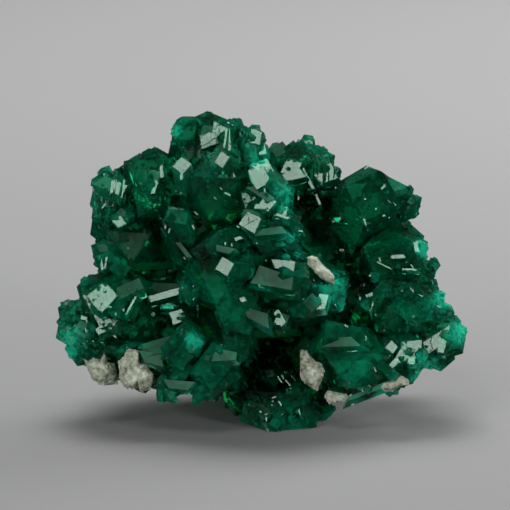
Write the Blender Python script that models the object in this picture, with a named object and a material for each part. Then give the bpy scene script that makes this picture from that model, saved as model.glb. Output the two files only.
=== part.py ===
"""Dioptase: a hand specimen of intergrown emerald-green crystals with remnants of pale calcite.

Run with blender --background --python part.py, or from Blender's text editor.
The scene is in metres, +Z up. The specimen's face looks along -Y, tipped up by VIEW_TILT, and
it stands on a flat break at z = 0. The sizes below are millimetres, which MM turns into metres.

Each lobe of the specimen is a rounded growth set with near-parallel crystals. The faces that
catch the eye are listed one by one, by where they're seen from the front. A Boolean union
grows all of them together, so the dioptase is one solid.
"""

import math
import random
from typing import NamedTuple

import bmesh
import bpy
from mathutils import Matrix, Vector, noise

MM = 0.001
SOLVER = "MANIFOLD"  # EXACT leaves open edges where this many crystals meet
SEED = 4

# Habit of a dioptase crystal: a six-sided prism under three rhombohedron faces
PRISM_SIDES = 6
TIP_FACES = 3
TIP_TILT = math.radians(51)
CORNER_AZIMUTH = math.radians(90)
SIDE_AZIMUTH = CORNER_AZIMUTH - math.pi / PRISM_SIDES
GOLDEN_TURN = math.pi * (3 - math.sqrt(5))

# The front view: the picture's right, its up, and the way back to whoever looks
VIEW_TILT = math.radians(12)
RIGHT = Vector((1, 0, 0))
UP = Vector((0, math.sin(VIEW_TILT), math.cos(VIEW_TILT)))
TOWARDS = Vector((0, -math.cos(VIEW_TILT), math.sin(VIEW_TILT)))


class Lobe(NamedTuple):
    """One growth of near-parallel crystals: its middle, its reach, the way its crystals lean,
    and the width of a crystal."""

    name: str
    at: tuple
    reach: tuple
    lean: tuple
    width: float


FINE, MEDIUM, COARSE, BACK = 4.8, 6.0, 7.0, 9.0

LOBES = (
    Lobe("summit", (-7.9, 2.0, 39.2), (7.2, 6.5, 5.2), (0, -0.5, 1), COARSE),
    Lobe("summit_right", (5.6, 5.0, 35.0), (5.8, 6.0, 4.8), (0.3, -0.4, 1), MEDIUM),
    Lobe("shoulder_left", (-15.4, 3.0, 33.9), (5.8, 6.5, 5.2), (-0.3, -0.5, 1), MEDIUM),
    Lobe("shoulder_outer", (-21.0, 2.0, 31.2), (4.1, 5.5, 4.8), (-0.4, -0.4, 1), FINE),
    Lobe("left_mid", (-17.6, 2.5, 24.5), (7.0, 7.5, 6.8), (-0.5, -1, 0.3), MEDIUM),
    Lobe("left_wing", (-20.3, -2.5, 16.3), (7.9, 8.5, 6.8), (-0.8, -0.7, 0.5), MEDIUM),
    Lobe("left_tip", (-25.9, -1.5, 13.4), (4.6, 6.0, 4.4), (-1, -0.3, 0.2), FINE),
    Lobe("left_under", (-15.5, -2.5, 9.6), (10.0, 9.5, 5.8), (-0.3, -1, -0.6), MEDIUM),
    Lobe("spine_upper", (-5.6, -3.5, 33.4), (8.0, 8.0, 7.2), (-0.2, -0.7, 0.9), MEDIUM),
    Lobe("ridge_upper", (0.2, -5.5, 31.0), (5.2, 7.5, 8.0), (0.6, -0.9, 0.5), MEDIUM),
    Lobe("centre_front", (-4.2, -6.5, 22.8), (9.4, 9.5, 8.6), (0.1, -1, 0.3), MEDIUM),
    Lobe("ridge_right", (5.5, -7.0, 20.2), (8.2, 8.0, 5.8), (0.7, -0.8, 0.4), MEDIUM),
    Lobe("right_recess", (9.0, 5.0, 25.0), (7.4, 7.5, 9.0), (0.2, -0.8, 0.7), COARSE),
    Lobe("right_crystal", (15.4, 2.0, 30.2), (7.2, 7.0, 7.0), (0.3, -0.4, 0.9), BACK),
    Lobe("right_block", (18.2, -1.0, 23.4), (6.4, 7.5, 5.4), (0.8, -0.6, 0.2), COARSE),
    Lobe("right_lower", (19.0, -1.5, 16.0), (8.6, 8.5, 5.6), (0.7, -0.8, 0.5), MEDIUM),
    Lobe("right_tip", (25.0, -2.0, 11.8), (5.0, 6.5, 3.8), (1, -0.4, -0.1), FINE),
    Lobe("lower_right", (14.6, -4.0, 9.2), (10.0, 9.5, 6.2), (0.4, -1, -0.5), MEDIUM),
    Lobe("bottom", (2.5, -3.5, 2.6), (7.4, 8.0, 7.2), (0.1, -1, -0.3), MEDIUM),
    Lobe("lower_centre", (-8.0, -6.5, 10.5), (6.4, 8.0, 7.7), (-0.1, -0.5, -1), FINE),
    Lobe("back_upper", (-1.5, 9.5, 27.5), (13.0, 8.5, 9.0), (0, 1, 0.6), BACK),
    Lobe("back_left", (-15.0, 9.0, 18.0), (10.5, 9.0, 10.5), (-0.7, 1, 0.2), BACK),
    Lobe("back_right", (14.5, 9.0, 17.5), (11.0, 9.0, 10.5), (0.7, 1, 0.2), BACK),
    Lobe("back_foot", (0.5, 9.0, 7.8), (13.0, 9.5, 9.5), (0, 1, -0.3), BACK),
)

# The solid growth at the middle of the specimen, which every lobe stands on
ROOT = Lobe("root", (0, 4.5, 18.5), (17.5, 9.5, 14.5), (0, 0, 1), BACK)

HEART = 0.9  # of a lobe's reach: the solid growth that its crystals stand on
BURIED = 0.93  # of a lobe's reach: a tip that lies this deep in a neighbour isn't made
CROWDING = 0.52  # of the space that its crystals would need to cover a lobe
FEWEST = 6  # crystals on a lobe
OUTWARD, LEANING, UNRULY = 0.6, 0.9, 0.25  # how much each steers a crystal
WIDTHS = (0.7, 0.85, 1, 1.3)  # of the lobe's own, one drawn for each crystal
TIP_DEPTHS = (0.9, 1.04)  # of a lobe's reach: between these its tips lie
ELBOW_ROOM = 0.35  # of its width: the room that a crystal takes up at its tip
UNEVEN = 0.18  # of its width: how far one face of a tip may lie below the others
SPIN = 0.2  # how far a crystal may be turned on its axis, in radians
ROOTED = 1.2  # of a lobe's least reach: no crystal on it is shorter


class Facet(NamedTuple):
    """One face seen from the front: how far right and up its middle is seen, the width of its
    crystal, which way the face looks, how far its crystal is rolled from pointing away from
    MIDDLE, in degrees, and whether the face belongs to the tip or to the prism."""

    across: float
    up: float
    width: float
    looks: str
    roll: float
    of: str = "tip"


# To the light above and in front; down at the pale table; at whoever looks
WAYS = {"light": (-0.15, -0.84, 0.52), "table": (0.1, -0.95, -0.3), "front": (0.05, -1, 0.1)}

FACETS = (
    # Summit
    Facet(-7.7, 40.0, 3.2, "light", 20),
    Facet(-5.6, 38.8, 4.2, "light", -10, "prism"),
    Facet(-1.8, 37.6, 3.6, "front", -10, "prism"),
    Facet(-11.0, 40.6, 4.8, "front", 15),
    Facet(-6.7, 36.3, 3.0, "light", 50),
    Facet(-11.3, 35.3, 3.2, "light", -30),
    Facet(4.0, 35.1, 3.8, "light", 40),
    Facet(7.4, 33.6, 3.8, "front", 15, "prism"),
    Facet(9.4, 34.6, 3.6, "light", -30),
    # Left shoulder and recess
    Facet(-21.4, 32.6, 3.6, "light", 5, "prism"),
    Facet(-20.0, 28.2, 3.2, "light", 25),
    Facet(-21.2, 21.8, 4.0, "front", -30, "prism"),
    Facet(-11.3, 25.0, 5.0, "front", -40, "prism"),
    Facet(-16.5, 31.0, 5.6, "front", 10),
    # Ridge
    Facet(0.0, 34.8, 3.8, "light", -15),
    Facet(1.2, 32.0, 4.6, "table", 10),
    Facet(-1.7, 27.9, 4.2, "light", 30),
    Facet(0.6, 30.0, 3.0, "light", -80),
    Facet(2.4, 28.6, 3.0, "light", 60),
    Facet(1.9, 26.6, 4.0, "table", -20),
    Facet(-6.0, 23.6, 4.4, "table", 30),
    Facet(-5.3, 21.2, 3.4, "light", 35),
    Facet(3.3, 21.1, 3.8, "light", -25),
    Facet(4.2, 18.6, 6.4, "table", 40),
    Facet(6.8, 16.2, 3.2, "light", 20),
    Facet(2.6, 13.8, 3.0, "light", 0),
    Facet(-3.0, 14.0, 6.4, "table", 60),
    # Right side
    Facet(15.4, 31.4, 9.5, "front", 35),
    Facet(18.2, 22.2, 5.4, "front", 10, "prism"),
    Facet(20.8, 30.0, 4.2, "front", 0),
    Facet(15.8, 17.0, 3.8, "front", 60, "prism"),
    Facet(20.8, 9.4, 4.8, "light", -20),
    Facet(24.6, 10.8, 3.6, "light", 50, "prism"),
    Facet(11.2, 10.0, 5.4, "table", 20, "prism"),
    Facet(8.3, 12.4, 4.0, "table", -20, "prism"),
    Facet(22.0, 15.0, 5.0, "front", -25),
    # Left wing and lower middle
    Facet(-22.8, 16.9, 4.6, "light", -15),
    Facet(-18.9, 18.0, 3.4, "light", 20, "prism"),
    Facet(-13.9, 17.8, 4.2, "light", -10, "prism"),
    Facet(-12.0, 14.1, 3.2, "light", 40),
    Facet(-25.4, 12.4, 3.2, "light", 0),
    Facet(-4.0, 8.8, 4.2, "table", 20),
    Facet(-6.5, 7.0, 4.8, "table", 0, "prism"),
    Facet(-11.0, 9.4, 5.0, "table", 15, "prism"),
    Facet(-14.8, 8.4, 4.4, "table", -15, "prism"),
    Facet(-12.0, 5.9, 4.2, "front", 10, "prism"),
    Facet(-8.8, 3.6, 3.4, "front", 0),
)
MIDDLE = (0, 19)  # where the listed crystals spread from, as seen from the front
PROUD = 0.5  # how far a listed face stands out of its lobe
LISTED_LENGTH = 1.6  # of its width
CLEAR = 0.55  # of the two widths: no other tip stands nearer than this to a listed face


class Lump(NamedTuple):
    """A remnant of the calcite that the crystals grew on, by where it's seen from the front."""

    name: str
    across: float
    up: float
    radii: tuple
    sunk: float


LUMPS = (
    Lump("calcite_left_outer", -23.0, 6.9, (2.8, 2.4, 2.2), 0.3),
    Lump("calcite_left_inner", -17.8, 6.9, (2.8, 2.6, 3.1), 0.3),
    Lump("calcite_centre", 6.9, 6.7, (1.9, 2.2, 2.9), 0.2),
    Lump("calcite_ridge", 8.0, 20.8, (2.1, 2.0, 1.9), 0.2),
    Lump("calcite_under", 10.4, 3.2, (1.9, 1.8, 1.2), 0.2),
    Lump("calcite_right", 18.6, 4.8, (2.1, 1.9, 1.2), 0.2),
)
LUMP_ROUGHNESS = 0.16  # of its radius
LUMP_BUMPS = 1.7  # how many bumps a radius holds
SOCKET_GAP = 0.3  # between a lump and the crystals round it

BREAK_BLOCK = 100  # side of the block that cuts the specimen's flat break

COLOURS = {"dioptase": (0.004, 0.11, 0.062, 1), "calcite": (0.66, 0.6, 0.5, 1)}
ROUGHNESS = {"dioptase": 0.08, "calcite": 0.6}


def crystal_mesh(width, length, uneven):
    """A prism along +Z whose tip is at the origin, cut by the three rhombohedron faces."""
    bm = bmesh.new()
    bmesh.ops.create_cone(
        bm,
        cap_ends=True,
        segments=PRISM_SIDES,
        radius1=width / 2,
        radius2=width / 2,
        depth=length,
        matrix=Matrix.Translation((0, 0, -length / 2)),
    )
    for k, drop in enumerate(uneven):
        azimuth = CORNER_AZIMUTH + k * math.tau / TIP_FACES
        cut = bmesh.ops.bisect_plane(
            bm,
            geom=bm.verts[:] + bm.edges[:] + bm.faces[:],
            dist=1e-7,
            plane_co=(0, 0, -drop * width),
            plane_no=crystal_normal(azimuth, TIP_TILT),
            clear_outer=True,
        )
        rim = [g for g in cut["geom_cut"] if isinstance(g, bmesh.types.BMEdge)]
        bmesh.ops.contextual_create(bm, geom=rim)
    bmesh.ops.recalc_face_normals(bm, faces=bm.faces[:])
    return bm


def crystal_normal(azimuth, tilt):
    flat = math.sin(tilt)
    return Vector((math.cos(azimuth) * flat, math.sin(azimuth) * flat, math.cos(tilt)))


def add_object(name, bm, collection):
    mesh = bpy.data.meshes.new(name)
    bm.to_mesh(mesh)
    bm.free()
    obj = bpy.data.objects.new(name, mesh)
    collection.objects.link(obj)
    return obj


def add_crystal(name, tip, turn, size, uneven, collection):
    """A crystal (width, length) whose tip is at a point and whose prism runs back from it."""
    bm = crystal_mesh(*size, uneven)
    bm.transform(Matrix.Translation(tip) @ turn)
    bm.transform(Matrix.Scale(MM, 4))
    return add_object(name, bm, collection)


def add_growth(lobe, share, collection):
    """The rounded solid growth in the middle of a lobe."""
    bm = bmesh.new()
    bmesh.ops.create_icosphere(bm, subdivisions=1, radius=share)
    bm.transform(Matrix.Translation(lobe.at) @ Matrix.Diagonal([*lobe.reach, 1]))
    bm.transform(Matrix.Scale(MM, 4))
    return add_object(lobe.name, bm, collection)


def depth_in(lobe, point):
    """0 at the lobe's middle and 1 at its reach."""
    return math.sqrt(sum(((p - c) / r) ** 2 for p, c, r in zip(point, lobe.at, lobe.reach)))


def seen_at(across, up):
    """The point of the lobes' reach that is seen there from the front."""
    start = RIGHT * across + UP * up
    nearest = -math.inf
    for lobe in LOBES:
        offset = Vector([(s - c) / r for s, c, r in zip(start, lobe.at, lobe.reach)])
        step = Vector([t / r for t, r in zip(TOWARDS, lobe.reach)])
        half_b = offset.dot(step)
        inside = half_b**2 - step.length_squared * (offset.length_squared - 1)
        if inside > 0:
            nearest = max(nearest, (math.sqrt(inside) - half_b) / step.length_squared)
    return start + TOWARDS * nearest


def facet_crystal(facet):
    """(middle of the face, tip, turn) of the crystal that shows a listed face."""
    normal = Vector(WAYS[facet.looks]).normalized()
    middle = seen_at(facet.across, facet.up) + normal * PROUD
    spread = RIGHT * (facet.across - MIDDLE[0]) + UP * (facet.up - MIDDLE[1])
    spread = (spread - normal * spread.dot(normal)).normalized()
    heading = Matrix.Rotation(math.radians(facet.roll), 3, normal) @ spread
    if facet.of == "tip":
        axis = normal * math.cos(TIP_TILT) + heading * math.sin(TIP_TILT)
        out = (normal - axis * math.cos(TIP_TILT)).normalized()
        tip = middle - out * facet.width / 4 + axis * facet.width / 4 * math.tan(TIP_TILT)
        azimuth = CORNER_AZIMUTH
    else:
        axis, out = heading, normal
        inradius = facet.width / 2 * math.cos(math.pi / PRISM_SIDES)
        tip = middle - out * inradius + axis * facet.width
        azimuth = SIDE_AZIMUTH
    # Columns: where the crystal's own axes go
    turn = Matrix((out.cross(axis), out, axis)).transposed()
    spin = Matrix.Rotation(CORNER_AZIMUTH - azimuth, 3, "Z")
    return middle, tip, (turn @ spin).to_4x4()


def sphere_directions(count, turn):
    for k in range(count):
        z = 1 - (2 * k + 1) / count
        flat = math.sqrt(1 - z * z)
        angle = k * GOLDEN_TURN + turn
        yield Vector((flat * math.cos(angle), flat * math.sin(angle), z))


def ellipsoid_area(rx, ry, rz):
    """Knud Thomsen's formula."""
    p = 1.6
    mean = ((rx * ry) ** p + (rx * rz) ** p + (ry * rz) ** p) / 3
    return 4 * math.pi * mean ** (1 / p)


def crystals_of(lobe, taken, dice):
    """(tip, axis, width) of each crystal on a lobe, tips near its reach, near-parallel."""
    count = max(FEWEST, round(ellipsoid_area(*lobe.reach) / lobe.width**2 / CROWDING))
    lean = Vector(lobe.lean).normalized()
    for direction in sphere_directions(count, dice.uniform(0, math.tau)):
        jitter = Vector([dice.uniform(-1, 1) for _ in range(3)])
        width = lobe.width * dice.choice(WIDTHS)
        depth = dice.uniform(*TIP_DEPTHS)
        tip = Vector([c + d * r * depth for c, d, r in zip(lobe.at, direction, lobe.reach)])
        if any(depth_in(other, tip) < BURIED for other in LOBES if other is not lobe):
            continue
        if any((tip - at).length < CLEAR * (width + wide) for at, wide in taken):
            continue
        taken.append((tip, width * ELBOW_ROOM))
        out = Vector([d / r for d, r in zip(direction, lobe.reach)]).normalized()
        along = out * OUTWARD + lean * LEANING + jitter * UNRULY
        yield tip, along.normalized(), width


def grow(growth):
    """Makes every crystal and rounded growth of the specimen."""
    dice = random.Random(SEED)
    taken = []
    add_growth(ROOT, 1, growth)
    for n, facet in enumerate(FACETS):
        middle, tip, turn = facet_crystal(facet)
        taken.append((middle, facet.width))
        size = (facet.width, facet.width * LISTED_LENGTH)
        add_crystal(f"listed_{n}", tip, turn, size, [0] * TIP_FACES, growth)
    for lobe in LOBES:
        add_growth(lobe, HEART, growth)
        for n, (tip, along, width) in enumerate(crystals_of(lobe, taken, dice)):
            uneven = [dice.uniform(0, UNEVEN) for _ in range(TIP_FACES)]
            spin = Matrix.Rotation(dice.uniform(-SPIN, SPIN), 4, "Z")
            turn = along.to_track_quat("Z", "Y").to_matrix().to_4x4() @ spin
            size = (width, max(width, min(lobe.reach) * ROOTED))
            add_crystal(f"{lobe.name}_{n}", tip, turn, size, uneven, growth)


def add_lump(lump, swell, collection):
    """The rough lump, swollen by a distance for the socket that it sits in."""
    bm = bmesh.new()
    bmesh.ops.create_icosphere(bm, subdivisions=2, radius=1)
    middle = seen_at(lump.across, lump.up) - TOWARDS * lump.radii[1] * lump.sunk
    for vert in bm.verts:
        rough = 1 + LUMP_ROUGHNESS * noise.noise(vert.co * LUMP_BUMPS + middle)
        vert.co = Vector([v * r * rough for v, r in zip(vert.co, lump.radii)])
        vert.co += vert.co.normalized() * swell
    bm.transform(Matrix.Translation(middle))
    bm.transform(Matrix.Scale(MM, 4))
    return add_object(lump.name, bm, collection)


def combined(base, operation, others):
    """The base's mesh after one Boolean with every object of a collection."""
    boolean = base.modifiers.new(operation, "BOOLEAN")
    boolean.operation = operation
    boolean.operand_type = "COLLECTION"
    boolean.collection = others
    boolean.solver = SOLVER
    graph = bpy.context.evaluated_depsgraph_get()
    mesh = bpy.data.meshes.new_from_object(base.evaluated_get(graph))
    base.modifiers.remove(boolean)
    return mesh


def keep_outer_shell(mesh):
    """Drops the crumbs and the closed voids that crystals shut in between them."""
    bm = bmesh.new()
    bm.from_mesh(mesh)
    shells = []
    unseen = set(bm.verts)
    while unseen:
        shell = []
        queue = [unseen.pop()]
        while queue:
            vert = queue.pop()
            shell.append(vert)
            for edge in vert.link_edges:
                other = edge.other_vert(vert)
                if other in unseen:
                    unseen.remove(other)
                    queue.append(other)
        shells.append(shell)
    shells.sort(key=len)
    for shell in shells[:-1]:
        bmesh.ops.delete(bm, geom=shell, context="VERTS")
    bm.to_mesh(mesh)
    bm.free()


def stand_on_origin(objects):
    """Moves the meshes together so that their common box is centred on the Z axis."""
    corners = [obj.matrix_world @ v.co for obj in objects for v in obj.data.vertices]
    middle = [(min(c[k] for c in corners) + max(c[k] for c in corners)) / 2 for k in (0, 1)]
    for obj in objects:
        obj.data.transform(Matrix.Translation((-middle[0], -middle[1], 0)))


def new_collection(name):
    collection = bpy.data.collections.new(name)
    bpy.context.scene.collection.children.link(collection)
    return collection


def add_material(name, kind):
    material = bpy.data.materials.new(name)
    material.use_nodes = True
    shader = material.node_tree.nodes["Principled BSDF"]
    shader.inputs["Base Color"].default_value = COLOURS[kind]
    shader.inputs["Roughness"].default_value = ROUGHNESS[kind]
    shader.inputs["Metallic"].default_value = 0
    return material


def main():
    for obj in list(bpy.data.objects):
        bpy.data.objects.remove(obj)
    specimen, growth, cutters = map(new_collection, ("dioptase", "growth", "cutters"))
    grow(growth)
    base = growth.objects[0]
    specimen.objects.link(base)
    growth.objects.unlink(base)
    base.data = combined(base, "UNION", growth)
    base.name = "dioptase"
    for obj in list(growth.objects):
        bpy.data.objects.remove(obj)

    below = bmesh.new()
    side = BREAK_BLOCK * MM
    bmesh.ops.create_cube(below, size=side, matrix=Matrix.Translation((0, 0, -side / 2)))
    add_object("below_the_break", below, cutters)
    for lump in LUMPS:
        add_lump(lump, 0, specimen)
        add_lump(lump, SOCKET_GAP, cutters).name = f"{lump.name}_socket"
    for cutter in cutters.objects:
        cutter.hide_render = True
        cutter.display_type = "WIRE"
    base.data = combined(base, "DIFFERENCE", cutters)
    keep_outer_shell(base.data)
    stand_on_origin(specimen.objects)

    for obj in specimen.objects:
        obj.data.materials.clear()
        obj.data.materials.append(add_material(obj.name, obj.name.split("_")[0]))


if __name__ == "__main__":
    main()
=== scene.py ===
# %% [markdown]
# # A cluster of dioptase crystals on white calcite
#
# The CAD part gives the big forms: every crystal a few millimetres wide, joined in one solid. This
# notebook adds what is smaller than that, then the clear green glass, the grainy calcite and the
# studio light. It starts by loading the part, which stays as it is and serves as the measure of all
# that follows.

import math

import bmesh
import bpy
import numpy as np
from mathutils import Matrix, Vector, noise
from mathutils.bvhtree import BVHTree


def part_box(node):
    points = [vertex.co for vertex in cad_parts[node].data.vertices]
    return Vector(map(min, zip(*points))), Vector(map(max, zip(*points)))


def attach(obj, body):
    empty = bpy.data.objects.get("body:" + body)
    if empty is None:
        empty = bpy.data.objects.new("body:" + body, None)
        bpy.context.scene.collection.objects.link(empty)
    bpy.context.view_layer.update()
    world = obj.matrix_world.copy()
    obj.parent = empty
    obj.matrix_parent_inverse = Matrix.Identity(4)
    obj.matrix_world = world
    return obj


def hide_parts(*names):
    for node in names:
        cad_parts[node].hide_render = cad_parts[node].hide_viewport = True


MM = 0.001
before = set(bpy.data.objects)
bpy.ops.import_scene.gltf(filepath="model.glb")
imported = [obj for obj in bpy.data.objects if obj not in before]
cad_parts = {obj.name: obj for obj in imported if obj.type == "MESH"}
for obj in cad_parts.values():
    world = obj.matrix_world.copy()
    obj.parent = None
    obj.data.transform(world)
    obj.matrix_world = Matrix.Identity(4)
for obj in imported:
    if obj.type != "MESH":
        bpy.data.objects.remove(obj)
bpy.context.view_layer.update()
print("nodes:", sorted(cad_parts))

# %% [markdown]
# ## The camera
#
# The cluster was photographed from the front and a little above. A long lens keeps the two sides of
# the cluster nearly parallel. The camera is placed from two readings: how many millimetres of the
# object one pixel covers, and how far the middle of the image lies from the object's own axis.

# %% Place the camera
IMAGE = 510  # pixels across
PHOTO_TILT = math.radians(12)
PHOTO_DISTANCE = 0.55
NEAREST_SEEN = 0.01
PIXEL = 0.1435 * MM
ASIDE = -1.0 * MM
HEIGHT = 22.95 * MM
UP = Vector((0, math.sin(PHOTO_TILT), math.cos(PHOTO_TILT)))
BACK = Vector((0, -math.cos(PHOTO_TILT), math.sin(PHOTO_TILT)))
RIGHT = Vector((1, 0, 0))


def add_camera():
    camera = bpy.data.objects.new("camera", bpy.data.cameras.new("camera"))
    bpy.context.scene.collection.objects.link(camera)
    camera.data.lens = camera.data.sensor_width * PHOTO_DISTANCE / (IMAGE * PIXEL)
    camera.data.clip_start = NEAREST_SEEN
    camera.location = RIGHT * ASIDE + UP * HEIGHT + BACK * PHOTO_DISTANCE
    camera.rotation_mode = "QUATERNION"
    camera.rotation_quaternion = Matrix((RIGHT, UP, BACK)).transposed().to_quaternion()
    bpy.context.scene.camera = camera
    return camera


print("lens in mm:", round(add_camera().data.lens))

# %% [markdown]
# ## Graphs of nodes
#
# Materials and geometry trees are both graphs of nodes. A `Graph` adds nodes to one of them, and a
# `Wire` is one output, on which plain arithmetic adds Math nodes.

# %% Two helpers for node graphs
class Wire:
    """One output of a node. Arithmetic on it adds Math nodes."""

    def __init__(self, graph, socket):
        self.graph = graph
        self.socket = socket

    def maths(self, operation, first, second=0.0, clamp=False):
        terms = {0: first, 1: second}
        return self.graph.node("ShaderNodeMath", terms, operation=operation, use_clamp=clamp)

    def __add__(self, other):
        return self.maths("ADD", self, other)

    def __radd__(self, other):
        return self.maths("ADD", other, self)

    def __sub__(self, other):
        return self.maths("SUBTRACT", self, other)

    def __rsub__(self, other):
        return self.maths("SUBTRACT", other, self)

    def __mul__(self, other):
        return self.maths("MULTIPLY", self, other)

    def __rmul__(self, other):
        return self.maths("MULTIPLY", other, self)

    def __pow__(self, other):
        return self.maths("POWER", self, other)

    def clamped(self):
        return self.maths("ADD", self, 0.0, clamp=True)


class Graph:
    """Adds nodes to one node tree and links them."""

    def __init__(self, tree):
        self.tree = tree
        tree.nodes.clear()

    def node(self, kind, inputs=None, out=0, **settings):
        made = self.tree.nodes.new(kind)
        for name, value in settings.items():
            setattr(made, name, value)
        for name, value in (inputs or {}).items():
            if isinstance(value, Wire):
                self.tree.links.new(value.socket, made.inputs[name])
            else:
                made.inputs[name].default_value = value
        return Wire(self, made.outputs[out]) if made.outputs else made

    def scaled(self, vector, factor):
        return self.node("ShaderNodeVectorMath", {"Vector": vector, "Scale": factor}, operation="SCALE")

    def added(self, first, second):
        return self.node("ShaderNodeVectorMath", {0: first, 1: second}, operation="ADD")

    def mix(self, factor, first, second):
        """A blend of two colours."""
        made = self.tree.nodes.new("ShaderNodeMix")
        made.data_type = "RGBA"
        for socket, value in zip([s for s in made.inputs if s.enabled], (factor, first, second)):
            if isinstance(value, Wire):
                self.tree.links.new(value.socket, socket)
            else:
                socket.default_value = value
        return Wire(self, next(s for s in made.outputs if s.enabled))

    def ramp(self, factor, *stops):
        """A colour ramp through stops of (place, colour)."""
        made = self.node("ShaderNodeValToRGB", {"Fac": factor})
        elements = made.socket.node.color_ramp.elements
        for index, (place, colour) in enumerate(stops):
            element = elements[index] if index < len(elements) else elements.new(place)
            element.position = place
            element.color = (*colour, 1)
        return made


def new_material(name):
    material = bpy.data.materials.new(name)
    material.use_nodes = True
    return material, Graph(material.node_tree)


print("helpers ready")

# %% [markdown]
# ## The small crystals
#
# Dioptase crystals are six-sided prisms that end in three slanted faces. Each of the three slopes 51
# degrees when the crystal stands upright, and the three lie over every second edge of the prism. The
# little crystals that cover the cluster all repeat this one shape.

# %% Shape one small crystal
SIDES = 6
TIP_FACES = 3
TIP_TILT = math.radians(51)
PRISM_HEIGHT = 1.1
TIP_HEIGHT = 0.8
CRYSTAL_HEIGHT = PRISM_HEIGHT + TIP_HEIGHT


def crystal_shape():
    """A crystal of radius 1 about the z axis, its foot at the origin, with three faces at its tip."""
    around = [2 * math.pi * k / SIDES for k in range(SIDES)]
    shape = bmesh.new()
    ends = [
        [shape.verts.new((math.cos(a), math.sin(a), z)) for a in around]
        for z in (0, CRYSTAL_HEIGHT + 1)
    ]
    shape.faces.new(ends[0][::-1])
    shape.faces.new(ends[1])
    for k in range(SIDES):
        after = (k + 1) % SIDES
        shape.faces.new((ends[0][k], ends[0][after], ends[1][after], ends[1][k]))
    top = Vector((0, 0, CRYSTAL_HEIGHT))
    across = math.sin(TIP_TILT)
    for k in range(TIP_FACES):
        turn = 2 * math.pi * k / TIP_FACES
        normal = Vector((across * math.cos(turn), across * math.sin(turn), math.cos(TIP_TILT)))
        geometry = shape.verts[:] + shape.edges[:] + shape.faces[:]
        cut = bmesh.ops.bisect_plane(
            shape, geom=geometry, plane_co=top, plane_no=normal, clear_outer=True
        )
        edges = [item for item in cut["geom_cut"] if isinstance(item, bmesh.types.BMEdge)]
        bmesh.ops.contextual_create(shape, geom=edges)
    mesh = bpy.data.meshes.new("small_crystal")
    shape.to_mesh(mesh)
    shape.free()
    return bpy.data.objects.new("small_crystal", mesh)


small_crystal = crystal_shape()
print("faces of a small crystal:", len(small_crystal.data.polygons))

# %% [markdown]
# ## Facets
#
# A facet is a patch of triangles that lie in one plane. It is found like a spill of paint: from one
# face over its edges to every neighbour that belongs to it. The same walk later finds loose pieces.

# %% Find the facets of the part
FLAT = math.radians(0.6)
SAME_SPOT = 0.001 * MM


def groups_of(shape, belongs):
    """Lists of touching faces, each of which belongs to the first face of its list."""
    found = []
    seen = set()
    for first in shape.faces:
        if first in seen:
            continue
        seen.add(first)
        group = [first]
        for face in group:
            for edge in face.edges:
                for other in edge.link_faces:
                    if other not in seen and belongs(first, other):
                        seen.add(other)
                        group.append(other)
        found.append(group)
    return found


def facets_of(shape):
    """A list of facets, each a list of the faces that lie in one plane and touch."""
    return groups_of(shape, lambda first, other: other.normal.angle(first.normal, 1) < FLAT)


def merged_copy(node):
    """The CAD node's mesh as a bmesh, its loose triangles joined along their edges."""
    merged = bmesh.new()
    merged.from_mesh(node.data)
    bmesh.ops.remove_doubles(merged, verts=merged.verts, dist=SAME_SPOT)
    return merged


def object_of(name, shape):
    """An object that holds the bmesh, which is freed."""
    mesh = bpy.data.meshes.new(name)
    shape.to_mesh(mesh)
    shape.free()
    made = bpy.data.objects.new(name, mesh)
    bpy.context.scene.collection.objects.link(made)
    return made


big_shape = merged_copy(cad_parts["dioptase"])
print("faces of the part:", len(big_shape.faces))

# %% [markdown]
# ## Where the small crystals grow
#
# They leave the largest facets mostly bare and crowd on the smallest ones. A few places of the
# photograph are crowded all the same. They are listed as BUSY, each with its middle and its reach,
# in millimetres across and up the photograph's view. Every face gets a weight between 0 and 1,
# which the tree reads.

# %% Weigh the facets
SMALL_FACET = 3 * MM**2
LARGE_FACET = 14 * MM**2
BARENESS = 0.93
BUSY_RISE = 2
BUSY = (
    ((2.5, 3.0), 9.0),
    ((21.0, 16.0), 6.0),
    ((-24.0, 10.0), 7.0),
    ((9.0, 38.0), 4.0),
    ((-10.0, 8.0), 5.0),
    ((22.0, 7.0), 5.0),
)


def in_view(point):
    """Millimetres across and up the photograph's view."""
    return Vector((point.dot(RIGHT), point.dot(UP))) / MM


def nearness(point, places):
    """1 in the middle of a place, 0 past its edge."""
    spot = in_view(point)
    return max(max(0, 1 - (spot - Vector(middle)).length / reach) for middle, reach in places)


def area_of(facet):
    return sum(face.calc_area() for face in facet)


def weigh_growth(shape):
    """Writes on each face how thickly the small crystals grow there."""
    growth = shape.faces.layers.float.new("growth")
    facets = facets_of(shape)
    for facet in facets:
        bare = min(max((area_of(facet) - SMALL_FACET) / (LARGE_FACET - SMALL_FACET), 0), 1)
        for face in facet:
            busy = min(1, BUSY_RISE * nearness(face.calc_center_median(), BUSY))
            face[growth] = 1 - BARENESS * bare * (1 - busy)
    print("facets:", len(facets))


weigh_growth(big_shape)
crystals = object_of("dioptase_crystals", big_shape)

# %% [markdown]
# ## Growing the small crystals
#
# A geometry tree scatters points over the facets, sets a small crystal on each and joins them all
# with the big forms. Its inputs are listed here. The same tree is used twice: first for crystals of
# a millimetre or two, then for the sugar, which is much finer and denser.

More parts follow.
